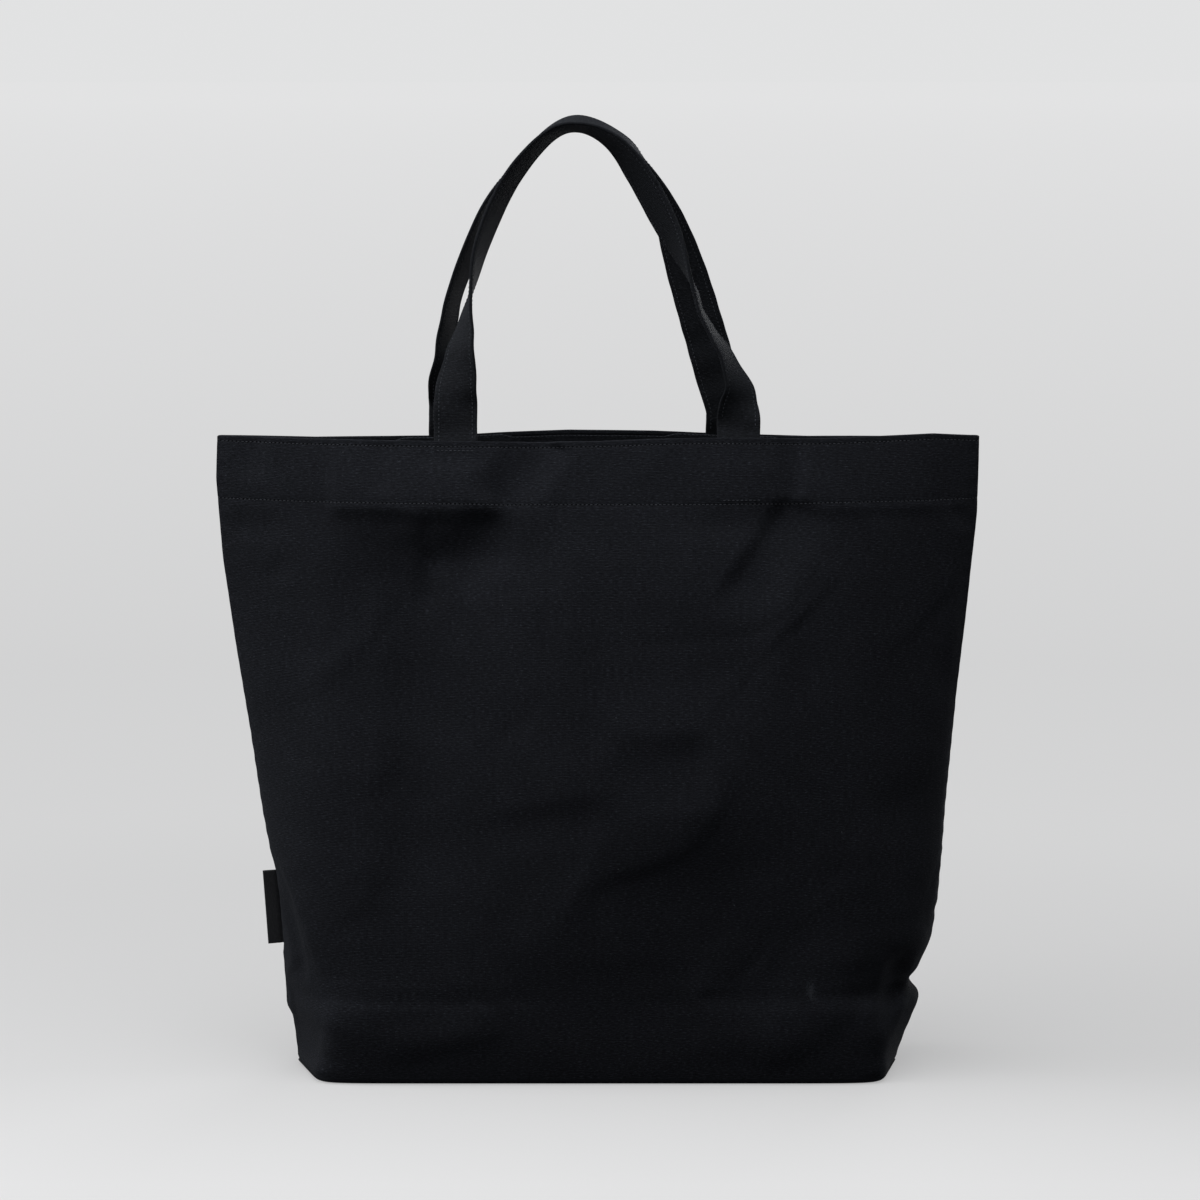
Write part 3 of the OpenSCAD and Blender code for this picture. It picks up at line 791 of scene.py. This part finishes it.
for side, panel in PANELS.items():
    parts = Parts().add(*cloth_shell(panel))
    for end in (1, -1):
        plan = [(depth, side * off) for depth, off in ALLOWANCE_PLAN]
        parts.tube(seam_bar(panel, end, plan[::end * side]))
    parts.tube([[(x, side * off, z) for z, off in BOTTOM_PLAN[::side]] for x in BOTTOM_STEPS])
    for end in (-1, 1):
        parts.tube([[corner_point(side * t, end, half, z) for z, half in CORNER_PLAN[::end * side]]
                    for t in np.linspace(0.003, 1, 12)])
    piece = parts.make(f"{WORD[side]}_cloth", CANVAS_FRONT if side < 0 else CANVAS, "canvas")
    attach(piece, "bag")
    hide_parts(f"{WORD[side]}_panel")

# ---- facings inside the rim

FACING_SHARES = np.array([0, 0.02, 0.05, 0.1, *np.linspace(0.16, 0.84, 14), 0.9, 0.95, 0.98, 1])
FACING_LOW, FACING_HIGH = FACING_FOOT - 1.6, RIM - 3.5
POCKET = 3.75  # how far the facing stands off the panel over a strap's end


def facing_row(panel, f, ply):
    """Row of the facing, f from its foot to its top, ply plies in from its outer face."""
    v = mix(FACING_LOW, mix(FACING_HIGH, RIM - 0.75, near_leg(panel)), f)
    j, t = panel.row(v)
    i, t = np.arange(len(t)), t[:, None]
    row = mix(panel.points[j, i], panel.points[j + 1, i], t)
    row += mix(panel.inward[j, i], panel.inward[j + 1, i], t) * (CLOTH + FIT + ply)
    bulge = POCKET * near_leg(panel, 29, 22)
    row[:, 1] -= panel.side * bulge * mix(0.8, 1.0, f)
    return row, v


def facing_shell(panel):
    """The facing as a closed shell, and the rows of its inner face."""
    outer, inner, heights = [], [], []
    for f in FACING_SHARES:
        turned = 0.45 if f in (0, 1) else 0.0  # the turned edges are thin
        groove = 0.2 * bell(f * FACING_H - 1.6, 1.2) if f > 0 else 0.0
        outer.append(facing_row(panel, f, turned)[0])
        row, v = facing_row(panel, f, 1.0 - turned - groove)
        inner.append(row)
        heights.append(v)
    stack = hold_side(np.concatenate([outer, inner[::-1]]), panel.side, 0.05)
    m, cols = stack.shape[:2]
    faces = grid_faces(m, cols) + end_faces(len(inner), m, cols)
    return stack, faces, weave_marks(np.concatenate([heights, heights[::-1]])), inner


FACING_INNER = {}
for side, panel in PANELS.items():
    *shell, FACING_INNER[side] = facing_shell(panel)
    piece = Parts().add(*shell).make(f"{WORD[side]}_hem_facing", LINING, "facing")
    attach(piece, "bag")
    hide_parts(f"{WORD[side]}_facing")

# ---- binding tapes

# Plan of a folded tape from its edge on one side round the fold to the other: how far each point
# lies from the fold, and its offset from the middle of the allowances
TAPE_SIDE = [(0.1 - TAPE_T, CLOTH + TAPE_T - 0.1), ((TAPE_W - TAPE_T) / 2, CLOTH + TAPE_T + 0.1),
             (TAPE_W - TAPE_T, CLOTH + TAPE_T - 0.05), (TAPE_W - TAPE_T, CLOTH), (0.0, CLOTH)]
TAPE_RING = [(dx, -off) for dx, off in TAPE_SIDE] + TAPE_SIDE[::-1]

for word, end in (("left", -1), ("right", 1)):
    rings = seam_bar(PANELS[-1], end, [(ALLOWANCE - dx, off) for dx, off in TAPE_RING[::end]])
    piece = Parts().tube(rings).make(f"{word}_seam_tape", TAPE, "binding")
    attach(piece, "bag")
    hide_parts(f"{word}_side_binding")

    steps = np.linspace(0.04, 1, 12)
    rings = [[corner_point(t, end, off, FIN_TOP - dx) for dx, off in TAPE_RING[::-end]]
             for t in np.concatenate([-steps[::-1], steps])]
    piece = Parts().tube(rings).make(f"{word}_corner_tape", TAPE, "binding")
    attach(piece, "bag")
    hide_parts(f"{word}_corner_binding")

rings = [[(x, off, FIN_TOP - dx) for dx, off in TAPE_RING] for x in BOTTOM_STEPS]
piece = Parts().tube(rings).make("bottom_tape", TAPE, "binding")
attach(piece, "bag")
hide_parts("bottom_binding")

# ---- straps

# Run of a strap: [across, up, turn], across in half spans from its middle, up in rises above the
# hinge line, turn its roll about its own line
FRONT_RUN = [
    [-1, 0, 0], [-1, 0.055, 0], [-0.99, 0.14, -26], [-0.945, 0.29, -62], [-0.88, 0.465, -94],
    [-0.8, 0.62, -109], [-0.61, 0.82, -112], [-0.34, 0.97, -106], [-0.12, 1, -102],
    [0.11, 0.95, -112], [0.3, 0.834, -124], [0.495, 0.66, -122], [0.68, 0.459, -88],
    [0.735, 0.37, -85], [0.845, 0.28, -79], [0.96, 0.175, -66], [1.0, 0.11, -47],
    [1.0, 0.055, -24], [1, 0.015, -4], [1, 0, 0]]
BACK_RUN = [
    [-1, 0, 0], [-1, 0.055, 0], [-1.03, 0.186, 57], [-0.98, 0.382, 71], [-0.83, 0.58, 68],
    [-0.68, 0.755, 81], [-0.44, 0.9, 96], [-0.12, 1, 107], [0.2, 0.957, 101],
    [0.396, 0.87, 88], [0.56, 0.7, 54], [0.715, 0.473, 22], [0.86, 0.24, 9], [0.935, 0.115, 4],
    [0.985, 0.045, 1], [1, 0.012, 0], [1, 0, 0]]
TOP_Y = 15.4  # from the bag's middle plane to a strap's middle at its top
RISE = {-1: 201.3, 1: 203.6}  # of a strap's middle above the hinge line
ROOT_Y = HINGE_Y - STRAP_T / 2
CLOTH_TOP = RIM - 1.2  # the highest row of a panel that is asked for


def held(z):
    """1 where a strap's end lies on its panel, falling to 0 at the hinge line."""
    return 1 - smooth((z - RIM + 4) / (HINGE_Z - RIM + 3))


def sewn_end(side, leg, heights):
    """Middles, width and thickness directions of a strap end that lies on the panel."""
    middle, width = [], []
    for z in heights:
        v = min(z, CLOTH_TOP)
        near, here, far = PANELS[side].at(np.array([leg - 10, leg, leg + 10]), v, 1.0)
        y = here[1] - side * (0.196 * (z - v) + FIT + STRAP_T / 2)
        middle.append([leg, mix(side * ROOT_Y, y, held(z)), z + (here[2] - v) * held(z)])
        width.append([1.0, (far[1] - near[1]) / 20 * held(z), 0.0])
    return np.array(middle), np.array(width), np.tile([0.0, 1.0, 0.0], (len(middle), 1))


def strap_line(run, side, shift):
    """Stations of a whole strap: middle, width and thickness directions, length from its start."""
    stations = smooth_run(run, 12)
    middle = np.stack([shift + stations[:, 0] * LEG_X,
                       side * mix(ROOT_Y, TOP_Y, stations[:, 1]),
                       HINGE_Z + stations[:, 1] * RISE[side]], -1)
    step = np.gradient(middle, axis=0)
    step[0], step[-1] = [0, 0, 1], [0, 0, -1]
    step = unit(step)
    inward = unit(np.stack([step[:, 2], 0 * step[:, 0], -step[:, 0]], -1))
    turn = np.radians(stations[:, 2:3])
    flat = inward * np.cos(turn) + np.array([0, 1, 0]) * np.sin(turn)
    width = unit(flat - step * (flat * step).sum(1, keepdims=True))
    thick = np.cross(step, width)
    # The cloth is a little wavy just above its ends
    span = run_length(middle)
    from_end = np.minimum(span, span[-1] - span)
    wave = smooth((from_end - 8) / 10) * (1 - smooth((from_end - 50) / 40))
    middle = middle + thick * (0.6 * wave * np.sin(from_end / 4.6 + 1 + side))[:, None]
    heights = np.concatenate([np.arange(STRAP_FOOT, RIM, 3.0), np.linspace(RIM, HINGE_Z - 1.2, 6)])
    first = sewn_end(side, LEGS[side][0], heights)
    last = sewn_end(side, LEGS[side][1], heights[::-1])  # it runs down again
    middle = np.concatenate([first[0], middle, last[0]])
    width = np.concatenate([first[1], width, -last[1]])
    thick = np.concatenate([first[2], thick, last[2]])
    far = run_length(middle)
    even = np.linspace(0, far[-1], int(far[-1] / 2.6))
    return *(sample(even, far, data) for data in (middle, width, thick)), even


STITCH_E = STRAP_W / 2 - STITCH_IN


def strap_half(e):
    """Half thickness of the strap across its width: full middle, grooves at the stitches,
    round folded edges."""
    a = np.abs(e)
    t = STRAP_T / 2 * (0.94 + 0.06 * np.cos(pi * np.clip(a / STITCH_E, 0, 1)))
    t -= 0.22 * bell(a - STITCH_E, 0.8) + 0.12 * smooth((a - STITCH_E) / 1.5)
    r = 1.25
    tip = np.clip((a - (STRAP_W / 2 - r)) / r, 0, 1)
    return t * np.sqrt(1 - tip ** 2)


HALF_E = np.array([0, 2.5, 5, 7.5, 9.4, 10.6, 11.5, 12.4, 13.3, 14.0, 14.5, 14.85, 15.0])
FACE_E = np.concatenate([-HALF_E[:0:-1], HALF_E])


def strap_piece(name, run, side, shift):
    """A whole strap and its stitching."""
    middle, width, thick, far = strap_line(run, side, shift)
    half = strap_half(FACE_E)
    e = np.concatenate([FACE_E, FACE_E[-2:0:-1]])
    t = np.concatenate([half, -half[-2:0:-1]])
    # Stitching draws the edges in a little, unevenly
    waver = 0.12 * np.sin(far / 3.1 + 0.8 * np.sin(far / 19))[:, None]
    waver = waver * smooth((np.abs(e) - 12) / 3)
    points = (middle[:, None] + width[:, None] * (e + np.sign(e) * waver)[..., None]
              + thick[:, None] * t[:, None])
    # The sewn ends bend with the cloth that they lie on
    for k in np.flatnonzero(middle[:, 2] < HINGE_Z - 1):
        x, z = points[k, :, 0], middle[k, 2]
        cloth = PANELS[side].at(np.append(x, middle[k, 0]), min(z, CLOTH_TOP), 1.0)[:, 1]
        lean = width[k, 1] / width[k, 0] * (x - middle[k, 0])
        points[k, :, 1] += (cloth[:-1] - cloth[-1] - lean) * held(z)
    # The canvas's v lies along the strap and its u across, other cloth on the second face
    marks = np.zeros(points.shape)
    marks[..., 0] = e + np.where(np.arange(len(e)) < len(FACE_E), 0, 60)
    marks[..., 1] = far[:, None] + 500 * (side > 0)
    piece = Parts().tube(points, marks).make(name, WEBBING, "strap")
    thread = Thread()
    for face in (1, -1):
        for edge in (1, -1):
            line = middle + width * edge * STITCH_E + thick * face * (strap_half(STITCH_E) + 0.02)
            thread.row(line, thick * face, first=FACING_H + 1.3 * (face + edge),
                       last=far[-1] - FACING_H)
    stitched = thread.make(f"{name}_stitching", "strap")
    for part in (piece, stitched):
        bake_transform(part)
    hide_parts(f"{WORD[side]}_handle", f"{WORD[side]}_handle_ends")


strap_piece("front_strap", FRONT_RUN, -1, 0.0)
strap_piece("back_strap", BACK_RUN, 1, BACK_SHIFT)

# ---- hem and binding stitching

for side, panel in PANELS.items():
    thread = Thread()
    # The two rows outside, and the short extra rows that lock a strap's end
    first, second = LEGS[side][::-side]
    for v, leg, reach in ((TOP_ROW, 0, 999), (HEM_ROW, 0, 999),
                          (TOP_ROW - 2.6, first, 17), (HEM_ROW + 2.6, second, 17)):
        line = panel.line(v, -0.02)
        keep = np.abs(line[:, 0] - leg) < reach
        place = GIRTH * ACROSS[keep]
        thread.row(line[keep], panel.normal[panel.row(v)[0], keep], far=place, last=place[-1],
                   first=ceil(place[0] / PITCH) * PITCH + 0.5)
    # The same rows on the facing's inner face
    inner = FACING_INNER[side]
    for v in (TOP_ROW, HEM_ROW):
        f = min((v - FACING_LOW) / (FACING_HIGH - FACING_LOW), 0.99)
        k, share = between(FACING_SHARES, f)
        up = -panel.normal[panel.row(v)[0]]
        thread.row(mix(inner[k], inner[k + 1], share) + up * 0.05, up, first=4.0)
    piece = thread.make(f"{WORD[side]}_hem_stitching", "canvas")
    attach(piece, "bag")

# Stitching of the side bindings
thread = Thread(radius=0.18)
for end in (1, -1):
    for face in (1, -1):
        place = (ALLOWANCE - 3.7, face * (CLOTH + TAPE_T + 0.02))
        line = seam_bar(PANELS[-1], end, [place], np.linspace(BAR_LOW + 1, BAR_HIGH - 1, 80))
        thread.row(line[:, 0], np.tile([0.0, face, 0.0], (len(line), 1)), first=1.0)
piece = thread.make("binding_stitching", "binding")
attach(piece, "bag")

# ---- side label

def label_piece():
    """A folded strip of satin tape, its two cut ends showing both plies, standing out of the
    seam with a slight curl."""
    axis, foot = np.array(LABEL_AXIS), np.array(LABEL_FOOT)
    out = unit(np.cross(axis, [0, 1, 0]))
    out *= -np.sign(out[0])
    half, inner_half = LABEL_T / 2, LABEL_T / 2 - LABEL_PLY
    fold = LABEL_W - half
    far = [-LABEL_ROOT, 0.0, *np.linspace(1.0, fold, 10)]
    ring = []
    for r, turns in ((half, 9), (-inner_half, 5)):
        # The strip's outer face out and back round the fold, then its inner face
        ring += [(x, -r) for x in far]
        ring += [(fold + abs(r) * cos(a), r * sin(a))
                 for a in np.linspace(-pi / 2, pi / 2, turns)[1:-1]]
        ring += [(x, r) for x in far[::-1]]
    r, y = np.array(ring).T  # out from the seam, and across it
    h = np.linspace(0, LABEL_H, 36)[:, None]
    share = np.maximum(r, 0) / LABEL_W
    droop = -0.2 * share * (1 - h / LABEL_H)
    curl = 0.5 * np.sin(pi * h / LABEL_H) - 0.25 * np.sin(2.3 * h / LABEL_H)
    # The root narrows to reach down between the two panels
    off = y * mix(0.1, 1, smooth((r + LABEL_ROOT) / 3)) + curl * share ** 1.5
    rings = (foot + (h + droop)[..., None] * axis + r[:, None] * out
             + off[..., None] * np.array([0, 1, 0]))
    # The inner face and the second half of the strip have cloth of their own
    across = r + 20 * (np.arange(len(r)) > 2 * len(far) + 6) + 40 * (y > 0)
    marks = np.stack(np.broadcast_arrays(h, across, 0.0), -1)
    return Parts().tube(rings, marks).make("side_tape_label", SATIN, "label")


label = label_piece()
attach(label, "side_label")
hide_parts("side_label")

# ---- camera, floor, light

scene = bpy.context.scene
camera_data = bpy.data.cameras.new("camera")
camera = scene.camera = placed("camera", camera_data)
camera_data.sensor_width = 36
camera_data.lens = 129.6
camera_data.clip_end = 200
camera.location = (0.002, -3.0, 0.714)
AIM = Vector((0.002, 0, 0.331))


def look_at(thing, target):
    thing.rotation_mode = "QUATERNION"
    thing.rotation_quaternion = (target - thing.location).to_track_quat("-Z", "Y")


look_at(camera, AIM)

FLOOR_HALF, FLOOR_Z = 90.0, -0.0004
FLOOR_NEAR = (0.63, 0.632, 0.637)
FAR_TONES = [(0.0, 0.68), (0.2, 0.66), (0.35, 0.645), (0.6, 0.70), (0.80, 0.735), (1.0, 0.765)]
SKY_TONE = 0.765
NEAR_GLOW = 0.58  # share of the floor's plain tone beside the bag
FLOOR_BOUNCE = 0.08  # the floor sends back this much of its light to the bag
FILL = 0.125  # strength of the world's light on the bag


def seen_rays(tree, *kinds):
    """1 for rays of these kinds, 0 for the others, which carry light to the bag."""
    ray = add(tree, "LightPath")
    seen, *others = (Value(ray.outputs[f"Is {kind} Ray"]) for kind in kinds)
    for other in others:
        seen = seen.math("MAXIMUM", other)
    return seen


def floor_material():
    """Pale paper: lit near the bag, and further out a plain tone that grows lighter with the
    distance from it."""
    material, tree = tree_of("floor_paper")
    tree.nodes.remove(tree.nodes["Principled BSDF"])
    place = add(tree, "TexCoord").outputs["Object"]
    x, y, _ = split(place)
    far = (x * x + y * y).math("SQRT")
    share = far.math("MAXIMUM", 0.35).math("LOGARITHM", 10.0).math("DIVIDE", 2.2) + 0.207
    ramp = add(tree, "ValToRGB", [share.clamped()])
    stops = ramp.color_ramp.elements
    while len(stops) < len(FAR_TONES):
        stops.new(0.5)
    for stop, (position, tone) in zip(stops, FAR_TONES):
        stop.position, stop.color = position, (tone, tone * 1.002, tone * 1.008, 1)
    seen = seen_rays(tree, "Camera", "Glossy")
    shade = noise(place, 300.0, 2.0, 0.5).fit(0.03, 0.985)
    shade = shade * seen.fit(1 - FLOOR_BOUNCE, FLOOR_BOUNCE)
    near = add(tree, "BsdfDiffuse", {"Color": scaled(FLOOR_NEAR, shade)})
    # Painted light: the tone is a little lighter in front of the bag, a painted pool of the key
    # lamp's light
    front = ((-0.02 - y) * 3.2).clamped() * ((2.6 - far) * 0.7).clamped()
    glow = add(tree, "Emission", {
        "Color": scaled(ramp.outputs["Color"], front.fit(0.24, 1.0)), "Strength": 1.0})
    edge = ((far - 0.42) * (1 / 0.7)).clamped()
    edge = edge * edge * (3.0 - edge * 2.0)
    blend = add(tree, "MixShader", [
        edge.fit(1 - NEAR_GLOW, NEAR_GLOW) * seen, near.outputs[0], glow.outputs[0]])
    feed(tree.nodes["Material Output"].inputs["Surface"], blend.outputs[0])
    return material


floor_mesh = bpy.data.meshes.new("floor")
floor_mesh.from_pydata([(x * FLOOR_HALF, y * FLOOR_HALF, FLOOR_Z)
                        for x, y in ((-1, -1), (1, -1), (1, 1), (-1, 1))], [], [(0, 1, 2, 3)])
floor_mesh.materials.append(floor_material())
floor = placed("floor", floor_mesh)

world = bpy.data.worlds.new("studio")
scene.world = world
world.use_nodes = True
back = world.node_tree.nodes["Background"]
back.inputs["Color"].default_value = (0.99, 0.995, 1.0, 1.0)
seen = seen_rays(world.node_tree, "Camera", "Transmission", "Glossy")
feed(back.inputs["Strength"], seen.fit(SKY_TONE - FILL, FILL))


def softbox(name, place, target, size, watts):
    data = bpy.data.lights.new(name, "AREA")
    data.shape = "RECTANGLE"
    data.size, data.size_y = size
    data.energy = watts
    lamp = placed(name, data)
    lamp.location = place
    lamp.visible_camera = False
    look_at(lamp, Vector(target))


softbox("key", (-0.12, -0.44, 1.5), (0.0, -0.15, 0.15), (1.5, 1.2), 21.3)
softbox("left_window", (-1.9, -0.25, 1.0), (0.0, 0.0, 0.45), (1.5, 1.0), 21)
softbox("rear_wall", (0.8, 2.1, 0.6), (0.0, 0.0, 0.3), (0.9, 0.9), 24)

scene.view_settings.view_transform = "Standard"
